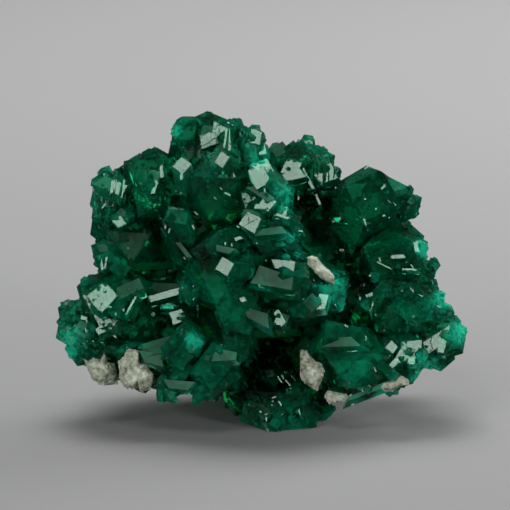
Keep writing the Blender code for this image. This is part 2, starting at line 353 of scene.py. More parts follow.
# %% List the inputs of the tree
STEPS = {
    "Crystal": small_crystal,
    "Where": "growth",
    "Density": 0.35 / MM**2,
    "Smallest": 0.3 * MM,
    "Largest": 1.2 * MM,
    "Lean": 0.55,
    "Slender": 0.9,
    "Margin": 0.3 * MM,
    "Seed": 7,
}
SUGAR = STEPS | {
    "Where": "sugar",
    "Density": 0.85 / MM**2,
    "Smallest": 0.16 * MM,
    "Largest": 0.38 * MM,
    "Lean": 0.9,
    "Seed": 21,
}
SOCKETS = {
    int: "NodeSocketInt",
    float: "NodeSocketFloat",
    str: "NodeSocketString",
    bpy.types.Object: "NodeSocketObject",
}
SUNK = 0.75  # of a crystal's width
FEW_LARGE = 2.2  # the higher, the rarer the large crystals
SHORTEST = 0.6  # of the full length
print("inputs:", ", ".join(STEPS))

# %% [markdown]
# ## The tree
#
# The glass must have no walls inside it, so the small crystals are joined by a Boolean union.
# Points near the sides of the part's box are dropped, which keeps the cluster's real size. Each
# crystal stands on its facet, leans a little at random, and is sunk so that no foot shows.

# %% Build the tree
GLASS, glass_graph = new_material("dioptase")


def outside_box(graph, spots, margin):
    """True where one of the spots is closer than the margin to a side of the part's box."""
    lowest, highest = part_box("dioptase")
    outside = None
    for spot in spots:
        parts = graph.node("ShaderNodeSeparateXYZ", {0: spot}).socket.node
        for part, low, high in zip(parts.outputs, lowest, highest):
            here = Wire(graph, part)
            for room in (here - low, high - here):
                sides = {"A": room, "B": margin}
                close = graph.node("FunctionNodeCompare", sides, operation="LESS_THAN")
                if outside is not None:
                    either = {0: outside, 1: close}
                    close = graph.node("FunctionNodeBooleanMath", either, operation="OR")
                outside = close
    return outside


def growth_tree():
    tree = bpy.data.node_groups.new("small crystals", "GeometryNodeTree")
    graph = Graph(tree)
    tree.interface.new_socket("Geometry", in_out="INPUT", socket_type="NodeSocketGeometry")
    for name, value in STEPS.items():
        tree.interface.new_socket(name, in_out="INPUT", socket_type=SOCKETS[type(value)])
    tree.interface.new_socket("Geometry", in_out="OUTPUT", socket_type="NodeSocketGeometry")
    given = tree.nodes.new("NodeGroupInput").outputs

    def value(name):
        return Wire(graph, given[name])

    def random(kind, lowest, highest, offset):
        made = tree.nodes.new("FunctionNodeRandomValue")
        made.data_type = kind
        sockets = [s for s in made.inputs if s.name in ("Min", "Max") and s.enabled]
        for socket, bound in zip(sockets, (lowest, highest)):
            if isinstance(bound, Wire):
                tree.links.new(bound.socket, socket)
            else:
                socket.default_value = bound
        tree.links.new((value("Seed") + offset).socket, made.inputs["Seed"])
        return Wire(graph, next(s for s in made.outputs if s.enabled))

    where = {"Name": value("Where")}
    growth = graph.node("GeometryNodeInputNamedAttribute", where, data_type="FLOAT")
    points = graph.node(
        "GeometryNodeDistributePointsOnFaces",
        {"Mesh": value("Geometry"), "Density": growth * value("Density"), "Seed": value("Seed")},
    )
    normal = Wire(graph, points.socket.node.outputs["Normal"])
    size = random("FLOAT", 0.0, 1.0, 2) ** FEW_LARGE
    width = value("Smallest") + size * (value("Largest") - value("Smallest"))
    slender = SHORTEST + (1 - SHORTEST) * random("FLOAT", 0.0, 1.0, 3)
    length = width * value("Slender") * slender
    leaning = graph.scaled(random("FLOAT_VECTOR", (-1, -1, -1), (1, 1, 1), 1), value("Lean"))
    axis = graph.node("ShaderNodeVectorMath", {0: graph.added(normal, leaning)}, operation="NORMALIZE")
    upright = graph.node("FunctionNodeAlignRotationToVector", {"Vector": axis}, axis="Z")
    foot = graph.node("GeometryNodeInputPosition")
    tip = graph.added(foot, graph.scaled(axis, length * CRYSTAL_HEIGHT))
    outside = outside_box(graph, (foot, tip), value("Margin"))
    kept = graph.node("GeometryNodeDeleteGeometry", {"Geometry": points, "Selection": outside})
    sunk = graph.scaled(normal, width * -SUNK)
    lowered = graph.node("GeometryNodeSetPosition", {"Geometry": kept, "Offset": sunk})
    stretch = graph.node("ShaderNodeCombineXYZ", {"X": width, "Y": width, "Z": length})
    given_crystal = graph.node("GeometryNodeObjectInfo", {"Object": value("Crystal")})
    crystal = Wire(graph, given_crystal.socket.node.outputs["Geometry"])
    placed = graph.node(
        "GeometryNodeInstanceOnPoints",
        {"Points": lowered, "Instance": crystal, "Rotation": upright, "Scale": stretch},
    )
    union = tree.nodes.new("GeometryNodeMeshBoolean")
    union.operation = "UNION"
    union.solver = "MANIFOLD"
    tree.links.new(given["Geometry"], union.inputs["Mesh 2"])
    tree.links.new(placed.socket, union.inputs["Mesh 2"])
    whole = Wire(graph, union.outputs["Mesh"])
    realized = graph.node("GeometryNodeRealizeInstances", {"Geometry": whole})
    dressed = graph.node("GeometryNodeSetMaterial", {"Geometry": realized, "Material": GLASS})
    tree.links.new(dressed.socket, tree.nodes.new("NodeGroupOutput").inputs[0])
    return tree


crystal_tree = growth_tree()
print("nodes in the tree:", len(crystal_tree.nodes))

# %% [markdown]
# ## The first crop
#
# A modifier runs the tree on the big forms. Its result becomes the object's own mesh, and the
# modifier is taken off again. Boolean joins later on are kept in the same way.

# %% Grow the small crystals
def keep_result(target, modifier):
    """Makes what the modifier shows the object's own mesh."""
    target.update_tag()
    graph = bpy.context.evaluated_depsgraph_get()
    mesh = bpy.data.meshes.new_from_object(target.evaluated_get(graph))
    target.modifiers.remove(modifier)
    target.data = mesh


def grow(target, values):
    modifier = target.modifiers.new("small crystals", "NODES")
    modifier.node_group = crystal_tree
    for socket in crystal_tree.interface.items_tree:
        if socket.in_out == "INPUT" and socket.name in values:
            modifier[socket.identifier] = values[socket.name]
    keep_result(target, modifier)


grow(crystals, STEPS)
print("faces with the small crystals:", len(crystals.data.polygons))

# %% [markdown]
# ## Sugar
#
# Parts of the cluster glitter with crystals about half a millimetre wide. They are grown by the same
# tree, most of them near a few places, given here in millimetres across and up the photograph's
# view.

# %% Grow the sugar
SUGARY = (
    ((2.0, 4.0), 7.0),
    ((20.0, 17.0), 6.0),
    ((12.5, 32.0), 4.5),
    ((-14.5, 27.0), 5.0),
    ((-4.0, 33.0), 5.0),
    ((-22.0, 15.0), 5.0),
    ((9.0, 19.0), 3.0),
    ((19.0, 8.0), 4.0),
    ((7.0, 38.0), 3.5),
)
SPARSE = 0.12
SUGAR_RISE = 1.6


def weigh_sugar(target):
    weights = target.data.attributes.new("sugar", "FLOAT", "POINT")
    for vertex, weight in zip(target.data.vertices, weights.data):
        weight.value = min(1, SPARSE + SUGAR_RISE * nearness(vertex.co, SUGARY))


weigh_sugar(crystals)
grow(crystals, SUGAR)
bpy.data.objects.remove(small_crystal)
print("faces with the sugar:", len(crystals.data.polygons))

# %% [markdown]
# ## Faces that catch the lamp
#
# The brightest marks in the photograph are small faces that mirror one lamp. A face does that when
# it looks halfway between the lamp and the camera. Each row below is one such face: how far it lies
# across and up the photograph's view, its length and its width in millimetres, and its turn in
# degrees. The faces in GREYS look the same way, but they are etched, so they only show a dull grey.

# %% List the faces that catch the lamp
KEY = Vector((-0.279, -0.584, 0.759)).normalized()
HALFWAY = (KEY + BACK).normalized()
GLINTS = (
    (-21.4, 32.8, 2.0, 0.7, 82), (-20.1, 32.4, 2.2, 0.55, 80), (-18.9, 30.4, 0.8, 0.5, 0),
    (-22.7, 30.0, 0.9, 0.2, 50), (-20.4, 27.7, 1.4, 1.2, 30), (-15.4, 32.6, 2.0, 0.5, 70),
    (-14.4, 34.9, 1.7, 0.4, 95), (-11.5, 34.6, 1.8, 0.4, 85), (-6.6, 41.1, 1.5, 0.9, 85),
    (-5.2, 39.6, 2.4, 0.6, 88), (-7.6, 39.6, 2.8, 1.6, 20), (-5.7, 36.6, 1.8, 1.4, 60),
    (-0.9, 40.0, 1.9, 1.3, 80), (0.0, 38.0, 1.6, 1.0, 100), (-0.4, 34.3, 2.6, 2.0, 110),
    (-4.9, 31.7, 0.9, 0.25, -25), (0.0, 30.0, 2.0, 0.7, 0), (-1.7, 27.8, 2.6, 2.3, -30),
    (-3.4, 25.4, 0.9, 0.5, 20), (-23.0, 21.7, 1.9, 0.3, 100), (-22.4, 21.9, 1.5, 0.25, 80),
    (-22.5, 16.9, 3.0, 1.9, 50), (-18.7, 15.9, 2.9, 0.3, 62), (-13.6, 17.3, 4.6, 0.9, 15),
    (-5.3, 20.8, 3.2, 0.9, -18), (-9.2, 15.3, 2.6, 0.2, 88), (-12.3, 14.0, 1.5, 1.0, 100),
    (-2.7, 16.6, 0.8, 0.6, 20), (-7.0, 14.9, 0.9, 0.3, 50), (-23.2, 12.2, 1.1, 1.0, 30),
    (-25.5, 13.9, 1.0, 0.5, -20), (4.4, 34.3, 2.8, 1.4, 15), (6.7, 33.7, 3.2, 0.45, -62),
    (7.9, 31.3, 1.9, 0.35, -70), (9.2, 34.4, 2.4, 2.0, 30), (3.0, 28.5, 1.7, 0.35, -20),
    (14.8, 27.7, 1.0, 0.2, -70), (17.4, 32.7, 0.7, 0.3, 40), (3.2, 21.5, 3.0, 1.5, -8),
    (17.5, 21.5, 2.2, 0.18, -25), (19.5, 22.7, 2.0, 0.5, 3), (20.7, 20.9, 2.6, 0.25, -2),
    (22.1, 24.1, 1.6, 0.6, 95), (8.6, 16.2, 2.0, 1.1, 75), (2.6, 13.8, 2.2, 1.0, -60),
    (15.4, 17.2, 1.0, 0.5, 20), (18.6, 9.7, 1.5, 1.2, 50), (19.8, 8.5, 1.7, 0.9, 62),
    (18.9, 7.4, 1.3, 0.8, 48), (21.1, 9.2, 1.2, 1.1, 70), (21.5, 7.8, 1.1, 0.9, 75),
    (24.0, 11.0, 2.2, 1.5, 90), (25.8, 10.0, 1.8, 1.0, 80), (3.7, 4.6, 1.3, 0.15, -50),
    (2.6, 5.0, 1.0, 0.15, -55), (4.5, 5.3, 1.2, 0.15, -50), (-1.7, 4.1, 0.8, 0.4, 70),
)
GREYS = (
    (-0.6, 14.2, 4.0, 1.8, -20), (1.4, 19.5, 4.2, 2.4, -15), (10.5, 10.5, 6.0, 1.2, -3),
    (-5.2, 8.6, 3.6, 1.6, -5), (-15.6, 8.0, 3.2, 1.2, -12), (-12.1, 4.3, 4.0, 1.3, -8),
    (17.5, 6.9, 4.0, 1.0, -38), (-5.5, 23.7, 2.4, 1.0, -12), (-0.1, 31.9, 2.8, 1.4, -40),
    (1.2, 26.4, 3.2, 1.0, 10), (8.5, 12.9, 5.2, 1.0, 17), (-11.3, 23.7, 2.6, 0.6, -50),
    (15.9, 3.7, 6.0, 0.5, 21),
)
print("bright faces:", len(GLINTS), "grey faces:", len(GREYS))

# %% [markdown]
# ## Sparkles
#
# Some places glitter with faces too small and too many to list. A sparkling place has a middle, a
# reach and a number of faces, and a generator with a fixed seed strews them over it.

# %% Strew the sparkles
SPARKLES = (
    ((2.0, 4.5), 5.5, 30), ((8.0, 25.0), 6.0, 12), ((20.0, 17.0), 6.5, 18), ((17.0, 29.0), 3.5, 8),
    ((-14.0, 25.0), 8.0, 14), ((-24.0, 13.0), 5.0, 12), ((-2.0, 30.0), 8.0, 12), ((12.0, 12.0), 8.0, 12),
)
SPARKLE_LENGTHS = (0.2, 0.75)
SPARKLE_WIDTHS = (0.12, 0.22)
SPARKLE_TURNS = (-50, 30)  # the mean and the spread, in degrees


def sparkles():
    """Tiny bright faces strewn at random over the places that glitter."""
    dice = np.random.default_rng(9)
    found = []
    for (across, up), reach, count in SPARKLES:
        for _ in range(count):
            far = reach * math.sqrt(dice.random())
            angle = dice.uniform(0, 2 * math.pi)
            length = dice.uniform(*SPARKLE_LENGTHS)
            width = dice.uniform(*SPARKLE_WIDTHS)
            spot = (across + far * math.cos(angle), up + far * math.sin(angle))
            found.append((*spot, length, width, dice.normal(*SPARKLE_TURNS)))
    return tuple(found)


tiny = sparkles()
print("sparkles:", len(tiny))

# %% [markdown]
# ## Blocks behind the bright faces
#
# A bright face is the front of a small block that is joined to the crystals. A ray from the camera
# finds where the block sits. The front is pushed out a little, so that it stands proud of what
# surrounds it, and the block flares towards the back, so that its sides stay out of sight.

# %% Shape the blocks
CORNERS = ((-0.5, -0.5), (0.5, -0.5), (0.5, 0.5), (-0.5, 0.5))
PROUD = 0.06 * MM
MOST_LIFT = 0.9 * MM
EDGE_ON = 0.25  # no block where the surface is seen more from the side than this
BLOCK_DEPTH = 1.8 * MM
FLARE = 1.3
TRIANGLES_IN_BLOCK = 12


def inside(point, lowest, highest):
    return all(low < c < high for low, c, high in zip(lowest, point, highest))


def walls_of(target):
    """The object's surface, ready for rays."""
    surface = bmesh.new()
    surface.from_mesh(target.data)
    walls = BVHTree.FromBMesh(surface)
    surface.free()
    return walls


def most_buried(walls, camera, corners, towards):
    """How far the corners lie behind the surface that hides them from the camera."""
    buried = 0
    for corner in corners:
        over = walls.ray_cast(camera, (corner - camera).normalized())[0]
        if over is not None:
            buried = max(buried, (corner - over).dot(towards))
    return buried


def bright_faces(target, faces, ragged, wobble):
    """One block for each face, its front looking halfway between lamp and camera."""
    dice = np.random.default_rng(5)
    walls = walls_of(target)
    camera = bpy.context.scene.camera.location
    lowest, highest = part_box("dioptase")
    shape = bmesh.new()
    for across, up, length, width, turn in faces:
        uneven = dice.uniform(-ragged, ragged, (4, 2))
        normal = (HALFWAY + Vector(dice.normal(0, wobble, 3))).normalized()
        towards = (RIGHT * across * MM + UP * up * MM - camera).normalized()
        hit, outward = walls.ray_cast(camera, towards)[:2]
        if hit is None or -outward.dot(towards) < EDGE_ON:
            continue
        turned = math.radians(turn)
        along = RIGHT * math.cos(turned) + UP * math.sin(turned)
        beside = UP * math.cos(turned) - RIGHT * math.sin(turned)
        front = []
        for (u, v), (du, dv) in zip(CORNERS, uneven):
            flat = (along * (u + du) * length + beside * (v + dv) * width) * MM
            front.append(hit + flat - BACK * flat.dot(normal) / BACK.dot(normal))
        buried = most_buried(walls, camera, front, towards)
        lift = towards * (min(buried, MOST_LIFT) + PROUD)
        front = [corner - lift for corner in front]
        centre = hit - lift
        rear = [centre + (corner - centre) * FLARE - normal * BLOCK_DEPTH for corner in front]
        if not all(inside(corner, lowest, highest) for corner in front + rear):
            continue
        ends = [[shape.verts.new(corner) for corner in ring] for ring in (front, rear)]
        shape.faces.new(ends[0])
        shape.faces.new(ends[1][::-1])
        for k in range(len(CORNERS)):
            after = (k + 1) % len(CORNERS)
            shape.faces.new((ends[0][after], ends[0][k], ends[1][k], ends[1][after]))
    bmesh.ops.triangulate(shape, faces=shape.faces)
    print("blocks:", len(shape.faces) // TRIANGLES_IN_BLOCK, "of", len(faces))
    return object_of("bright_faces", shape)


print("rays start at:", [round(c, 3) for c in bpy.context.scene.camera.location])

# %% [markdown]
# ## Cuts and joins
#
# Two corners of the outline are blunter in the photograph than in the part. They are cut along three
# lines, each between two points of the view. What hangs below the part's foot is cut off as well, so
# that the cluster stands on the floor. Then the blocks of the bright faces are joined on.

# %% Cut the corners and join the blocks
CHAMFERS = (
    ((-13.3, 40.3), (-11.7, 42.3)),
    ((-12.0, 42.0), (-9.4, 43.7)),
    ((15.5, 35.3), (18.9, 33.6)),
)
CHAMFER_SIDE = 5 * MM
CHAMFER_LENGTH = 8 * MM
CHAMFER_DEPTH = 60 * MM


def chamfer_block(start, end):
    """A block on the left of the line between two points of the view, through the whole depth."""
    first = RIGHT * start[0] * MM + UP * start[1] * MM
    along = RIGHT * end[0] * MM + UP * end[1] * MM - first
    outward = (UP * along.dot(RIGHT) - RIGHT * along.dot(UP)).normalized()
    middle = first + along / 2 + outward * CHAMFER_SIDE / 2
    turned = Matrix((along.normalized(), outward, BACK)).transposed().to_4x4()
    sizes = Matrix.Diagonal((CHAMFER_LENGTH, CHAMFER_SIDE, CHAMFER_DEPTH, 1))
    shape = bmesh.new()
    bmesh.ops.create_cube(shape, size=1, matrix=Matrix.Translation(middle) @ turned @ sizes)
    return object_of("chamfer", shape)


def floor_block():
    """A block that fills the room under the part, to cut off what hangs below its foot."""
    shape = bmesh.new()
    size = Matrix.Diagonal((CHAMFER_DEPTH * 2, CHAMFER_DEPTH * 2, CHAMFER_SIDE, 1))
    low = Vector((0, 0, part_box("dioptase")[0].z - CHAMFER_SIDE / 2))
    bmesh.ops.create_cube(shape, size=1, matrix=Matrix.Translation(low) @ size)
    return object_of("under_the_part", shape)


def combine(target, other, operation):
    """Joins the other object to the target, or cuts it away, and removes it."""
    modifier = target.modifiers.new("combine", "BOOLEAN")
    modifier.operation = operation
    modifier.solver = "MANIFOLD"
    modifier.object = other
    keep_result(target, modifier)
    bpy.data.objects.remove(other)


combine(crystals, floor_block(), "DIFFERENCE")
for start, end in CHAMFERS:
    combine(crystals, chamfer_block(start, end), "DIFFERENCE")
# The rows, how ragged the corners of their faces are, and how much the faces turn aside.
for rows, ragged, wobble in ((GREYS, 0.24, 0.07), (GLINTS, 0.14, 0.03), (tiny, 0.14, 0.05)):
    combine(crystals, bright_faces(crystals, rows, ragged, wobble), "UNION")
print("faces with the bright ones:", len(crystals.data.polygons))

# %% [markdown]
# ## Each facet its own finish
#
# Natural facets differ: one is a mirror, the next is etched or finely grooved. The colour runs from
# nearly black, where shade is painted in, to teal, where a glow of light through the crystal is
# painted in. These lists say where the photograph shows the teal glow, the grooved places and the
# places of painted shade: the middle of each and its reach, in millimetres across and up the view.

# %% List the places
# Places where a teal glow, light seen through the crystal, is painted into the colour.
GLOW_PLACES = (
    ((-0.5, 36.0), 2.2),
    ((3.2, 31.0), 2.8),
    ((4.6, 24.0), 2.8),
    ((9.5, 18.5), 3.4),
    ((12.5, 15.5), 3.0),
    ((28.5, 12.0), 3.0),
    ((23.0, 6.5), 3.5),
    ((25.5, 16.5), 2.5),
    ((17.5, 3.5), 2.2),
    ((-9.5, 11.0), 2.0),
    ((-28.0, 10.0), 4.0),
    ((-12.3, 40.5), 1.5),
    ((23.0, 24.0), 2.2),
)
GROOVED = (
    ((-6.0, 42.0), 9.0),
    ((-19.5, 33.0), 5.0),
    ((-23.0, 24.0), 4.0),
    ((8.0, 35.0), 4.0),
)
# Places where shade is painted into the colour, which goes nearly black there.
SHADE_PLACES = (
    ((8.6, 26.0), 5.0),
    ((6.5, 30.5), 4.0),
    ((1.5, 8.5), 5.0),
    ((-14.5, 25.0), 6.0),
    ((-8.0, 22.5), 3.5),
    ((14.0, 19.0), 3.5),
    ((1.0, 4.0), 5.0),
)
print("places:", len(GLOW_PLACES), "teal,", len(GROOVED), "grooved,", len(SHADE_PLACES), "dark")

# %% [markdown]
# ## Open and sheltered, thick and thin
#
# Rays tell how a spot is lit. Those sent outward show how open it is: deep between the crystals
# little gets out, and shade is painted into the colour there. Those sent inward show how thick the
# crystal is behind it: thin edges get a painted teal glow.

# %% Measure the light
RAYS = 28
FACING = 0.15
BEHIND = 0.6
LONGEST = 2.0 * MM
HALVINGS = 4
SKIN = 0.02 * MM
SHELTER_REACH = 9 * MM
THICK = 5 * MM


def spread_directions(count):
    """Unit directions spread evenly over a sphere."""
    turn = math.pi * (3 - math.sqrt(5))
    found = []
    for k in range(count):
        z = 1 - 2 * (k + 0.5) / count
        across = math.sqrt(1 - z * z)
        found.append(Vector((across * math.cos(k * turn), across * math.sin(k * turn), z)))
    return found


def split_long_edges(shape):
    """Cuts long edges in half, since the measures are kept on vertices."""
    for _ in range(HALVINGS):
        long_edges = [edge for edge in shape.edges if edge.calc_length() > LONGEST]
        if not long_edges:
            break
        bmesh.ops.subdivide_edges(shape, edges=long_edges, cuts=1)
        bmesh.ops.triangulate(shape, faces=[face for face in shape.faces if len(face.verts) > 3])


def measure_light(shape):
    """Writes on each vertex how open it is, how thin the crystal is there, and which places it is in."""
    shape.normal_update()
    walls = BVHTree.FromBMesh(shape)
    opened = shape.verts.layers.float.new("opened")
    thin = shape.verts.layers.float.new("thin")
    teal = shape.verts.layers.float.new("teal")
    dark = shape.verts.layers.float.new("dark")
    grooved = shape.verts.layers.float.new("grooved")
    directions = spread_directions(RAYS)
    for vertex in shape.verts:
        above = vertex.co + vertex.normal * SKIN
        beneath = vertex.co - vertex.normal * SKIN
        free = faced = 0
        depths = []
        for direction in directions:
            facing = direction.dot(vertex.normal)
            if facing > FACING:
                faced += facing
                distance = walls.ray_cast(above, direction, SHELTER_REACH)[3]
                free += facing * (1 if distance is None else distance / SHELTER_REACH)
            elif facing < -BEHIND:
                distance = walls.ray_cast(beneath, direction, THICK)[3]
                depths.append(THICK if distance is None else distance)
        vertex[opened] = free / faced
        # Nearness to the places of painted glow.
        vertex[teal] = nearness(vertex.co, GLOW_PLACES)
        # Nearness to the places of painted shade.
        vertex[dark] = nearness(vertex.co, SHADE_PLACES)
        vertex[grooved] = nearness(vertex.co, GROOVED)
        vertex[thin] = 1 - sum(depths) / (THICK * max(len(depths), 1))


print("directions:", len(spread_directions(RAYS)))

# %% [markdown]
# ## Bright or dull
#
# A facet that looks halfway between lamp and camera is bright, whether the photograph shows it so
# or not. Facets under a row of GLINTS or under a sparkle stay polished. Those under a row of GREYS
# are etched, and any other but the smallest that would catch the lamp by chance is etched still
# more.

# %% Choose the polish
LAMP_TURN = math.radians(12)
GLINT_ROOM = 0.3
QUIET_FACET = 0.5 * MM**2
GREY_DULL = 1.7
DULLEST = 2.05
LARGE_DULL = 0.35


def in_photo(point):
    """Like in_view, with the perspective of the camera."""
    camera = bpy.context.scene.camera.location
    return in_view(camera + (point - camera) * PHOTO_DISTANCE / (camera - point).dot(BACK))


def covers(face, spot):
    """Whether one of the listed faces lies over a spot of the view."""
    across, up, length, width, turn = face
    offset = Matrix.Rotation(-math.radians(turn), 2) @ (spot - Vector((across, up)))
    return abs(offset.x) < length / 2 + GLINT_ROOM and abs(offset.y) < width / 2 + GLINT_ROOM


def dullness(facet, dull):
    """0 where the photograph shows a bright face, and much where one would be bright by chance."""
    area = area_of(facet)
    if facet[0].normal.angle(HALFWAY, math.pi) > LAMP_TURN:
        return dull * (LARGE_DULL if area > LARGE_FACET / 2 else 1)
    spot = in_photo(facet[0].calc_center_median())
    if any(covers(face, spot) for face in GLINTS + tiny):
        return 0
    if any(covers(face, spot) for face in GREYS):
        return GREY_DULL
    return DULLEST if area > QUIET_FACET else dull


print("turn that catches the lamp:", round(math.degrees(LAMP_TURN)), "degrees")

# %% [markdown]
# ## The finish, facet by facet
#
# The Boolean cuts can leave crumbs, which are removed first. Then each facet gets a random tone,
# its polish, and a coordinate that runs across its grooves.

# %% Give each facet its finish
STEEP = 0.1
finish_dice = np.random.default_rng(12)


def keep_largest(shape):
    """Removes every piece that doesn't hang together with the largest one."""
    pieces = sorted(groups_of(shape, lambda first, other: True), key=len)
    loose = [face for piece in pieces[:-1] for face in piece]
    bmesh.ops.delete(shape, geom=loose, context="FACES")
    print("loose pieces removed:", len(pieces) - 1, "with faces:", len(loose))


def finish_facets(target):
    shape = bmesh.new()
    shape.from_mesh(target.data)
    keep_largest(shape)
    bmesh.ops.triangulate(shape, faces=shape.faces)
    split_long_edges(shape)
    measure_light(shape)
    tone = shape.faces.layers.float.new("tone")
    polish = shape.faces.layers.float.new("polish")
    across = shape.loops.layers.float.new("across")
    facets = facets_of(shape)
    for facet in facets:
        shade, dull = finish_dice.random(2)
        dull = dullness(facet, dull)
        level = Vector((0, 0, 1)).cross(facet[0].normal)
        level = level.normalized() if level.length > STEEP else RIGHT
        for face in facet:
            face[tone] = shade
            face[polish] = dull
            for loop in face.loops:
                loop[across] = loop.vert.co.dot(level) / MM
    print("facets:", len(facets), "faces:", len(shape.faces))
    print("open edges:", sum(edge.is_boundary for edge in shape.edges))
    shape.to_mesh(target.data)
    shape.free()


finish_facets(crystals)

# %% [markdown]
# ## Dioptase
#
# The mineral is a clear glass with a high refractive index, and it swallows most red light within a
# few millimetres. Fine inclusions cloud it, so a share of the light is scattered back in green. The
# attributes written above steer the colour, into which shade and a teal glow of light are painted,
# the roughness and the bumps. Where GROOVED says so a facet is grooved, elsewhere it has faint waves
# and hair cracks.

# %% Mix the dioptase
IOR = 1.66
SHEEN = (0.78, 1.0, 0.86, 1)
# The colour of the painted shade.
PAINTED_SHADE_GREEN = (0.0, 0.006, 0.003, 1)
# The colour of the painted glow at thin edges.
PAINTED_GLOW_TEAL = (0.015, 0.62, 0.37, 1)
ABSORBED = {"Color": (0.02, 0.8, 0.62, 1), "Density": 450.0}
GROOVES_PER_MM = 1.5
CRACK_SHARPNESS = 14.0
OBJECT_PLACE = 3  # the output of the coordinate node that gives places on the object
AS_NUMBER = 2  # the output of the attribute node that gives a number


def dioptase(graph):
    place = graph.node("ShaderNodeTexCoord", out=OBJECT_PLACE)
    tone, polish, across, opened, thin, teal, dark, grooved = (
        graph.node("ShaderNodeAttribute", out=AS_NUMBER, attribute_name=name)
        for name in ("tone", "polish", "across", "opened", "thin", "teal", "dark", "grooved")
    )
    cloud = graph.node("ShaderNodeTexNoise", {"Vector": place, "Scale": 260.0, "Detail": 3.0})
    mottle = graph.node("ShaderNodeTexNoise", {"Vector": place, "Scale": 1500.0, "Detail": 4.0})
    waves = graph.node("ShaderNodeTexNoise", {"Vector": place, "Scale": 420.0, "Detail": 3.0})
    lines = {"W": across * GROOVES_PER_MM, "Scale": 1.0}
    grooves = graph.node("ShaderNodeTexVoronoi", lines, voronoi_dimensions="1D")
    cells = {"Vector": place, "Scale": 620.0}
    cracks = graph.node("ShaderNodeTexVoronoi", cells, feature="DISTANCE_TO_EDGE")
    crack = (cracks * CRACK_SHARPNESS).clamped()
    # Polished facets stay nearly flat, etched ones show the grooves, waves and cracks.
    striped = (2 * grooved).clamped() * (0.35 + 2 * polish).clamped()
    uneven = (0.12 + 0.88 * (1.5 * polish).clamped()) * waves + (0.045 + 0.06 * polish) * crack
    height = (0.06 + 0.8 * striped) * grooves + (1 - 0.7 * striped) * uneven
    bump = graph.node("ShaderNodeBump", {"Height": height, "Strength": 0.35, "Distance": 0.3 * MM})
    rough = 0.03 + 0.17 * polish**2

    # Painted shade: the glass takes on a dark tint in the sheltered places and in those listed as
    # shaded.
    lit = (1.25 * opened - 0.02 - 1.15 * dark).clamped()
    shade_tint = graph.ramp(lit, (0.0, (0.0, 0.1, 0.06)), (0.9, (0.75, 1.0, 0.95)))
    face = {"Roughness": rough, "IOR": IOR, "Normal": bump, "Specular Tint": SHEEN}
    glassy = face | {"Base Color": shade_tint, "Transmission Weight": 1.0}
    clear = graph.node("ShaderNodeBsdfPrincipled", glassy)

    # The clouded share is mottled green, darkened by painted shade where sheltered, and teal where the
    # crystal is thin or listed: a painted glow that stands in for light coming through.
    spots = 0.45 * cloud + 0.25 * tone + 0.5 * mottle - 0.1
    colour = graph.ramp(
        spots, (0.25, (0.0, 0.03, 0.013)), (0.5, (0.0, 0.15, 0.07)), (0.75, (0.002, 0.4, 0.2))
    )
    glow = (0.9 * (thin - 0.4) + 3.2 * teal * mottle).clamped()
    glowing = graph.mix(glow, colour, PAINTED_GLOW_TEAL)
    shaded = graph.mix(lit, PAINTED_SHADE_GREEN, glowing)
    clouded = graph.node("ShaderNodeBsdfPrincipled", face | {"Base Color": shaded})
    share = (0.15 + 0.5 * cloud + 0.4 * glow).clamped()
    mixed = graph.node("ShaderNodeMixShader", {0: share, 1: clear, 2: clouded})
    absorbing = graph.node("ShaderNodeVolumeAbsorption", ABSORBED)
    graph.node("ShaderNodeOutputMaterial", {"Surface": mixed, "Volume": absorbing})


dioptase(glass_graph)
crystals.data.materials.clear()
crystals.data.materials.append(GLASS)
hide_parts("dioptase")
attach(crystals, "root")
print("nodes in the dioptase:", len(GLASS.node_tree.nodes))

# %% [markdown]
# ## Calcite
#
# The white lumps are calcite, grainy like lumps of sugar. Seen from the front, each follows an
# outline given by its corners, in millimetres across and up the photograph's view.

# %% List the outlines of the lumps
OUTLINES = {
    "calcite_left_outer": (
        (-25.2, 8.4), (-24.6, 7.8), (-23.8, 8.4), (-22.8, 8.1), (-22.3, 9.1), (-21.8, 7.8), (-20.8, 7.6),
        (-20.5, 5.7), (-20.3, 4.3), (-21.7, 4.3), (-22.9, 4.7), (-23.8, 5.6), (-24.4, 6.7),
    ),
    "calcite_left_inner": (
        (-20.1, 8.1), (-19.3, 8.6), (-19.0, 9.5), (-17.8, 9.7), (-17.2, 9.3), (-17.5, 8.4), (-17.1, 7.7),
        (-16.2, 7.6), (-16.0, 6.9), (-15.3, 6.2), (-15.4, 5.3), (-15.8, 4.1), (-17.1, 3.9), (-17.2, 4.7),
        (-18.0, 4.3), (-19.1, 4.4), (-19.9, 5.6),
    ),
    "calcite_centre": (
        (4.8, 8.9), (5.2, 9.5), (6.3, 9.5), (6.9, 8.5), (7.5, 8.0), (8.3, 7.6), (8.6, 6.1), (7.7, 3.8),
        (6.7, 4.6), (5.6, 5.5), (5.2, 6.7), (5.1, 7.5),
    ),
    "calcite_ridge": (
        (6.3, 22.6), (6.9, 22.9), (7.6, 22.6), (8.3, 21.6), (9.3, 20.8), (10.0, 19.9), (9.9, 19.0),
        (9.0, 19.3), (7.9, 20.0), (7.0, 21.0), (6.4, 21.6),
    ),
    "calcite_under": (
        (8.8, 3.0), (9.3, 3.9), (10.2, 3.6), (11.6, 3.4), (12.2, 2.9), (11.2, 2.3), (9.5, 2.1),
    ),
    "calcite_right": (
        (16.7, 4.4), (17.1, 5.0), (18.5, 5.2), (19.5, 6.1), (20.4, 5.5), (20.6, 4.8), (19.1, 4.6),
        (18.3, 4.0), (17.1, 3.9),
    ),
}
print("corners:", {name: len(corners) for name, corners in OUTLINES.items()})

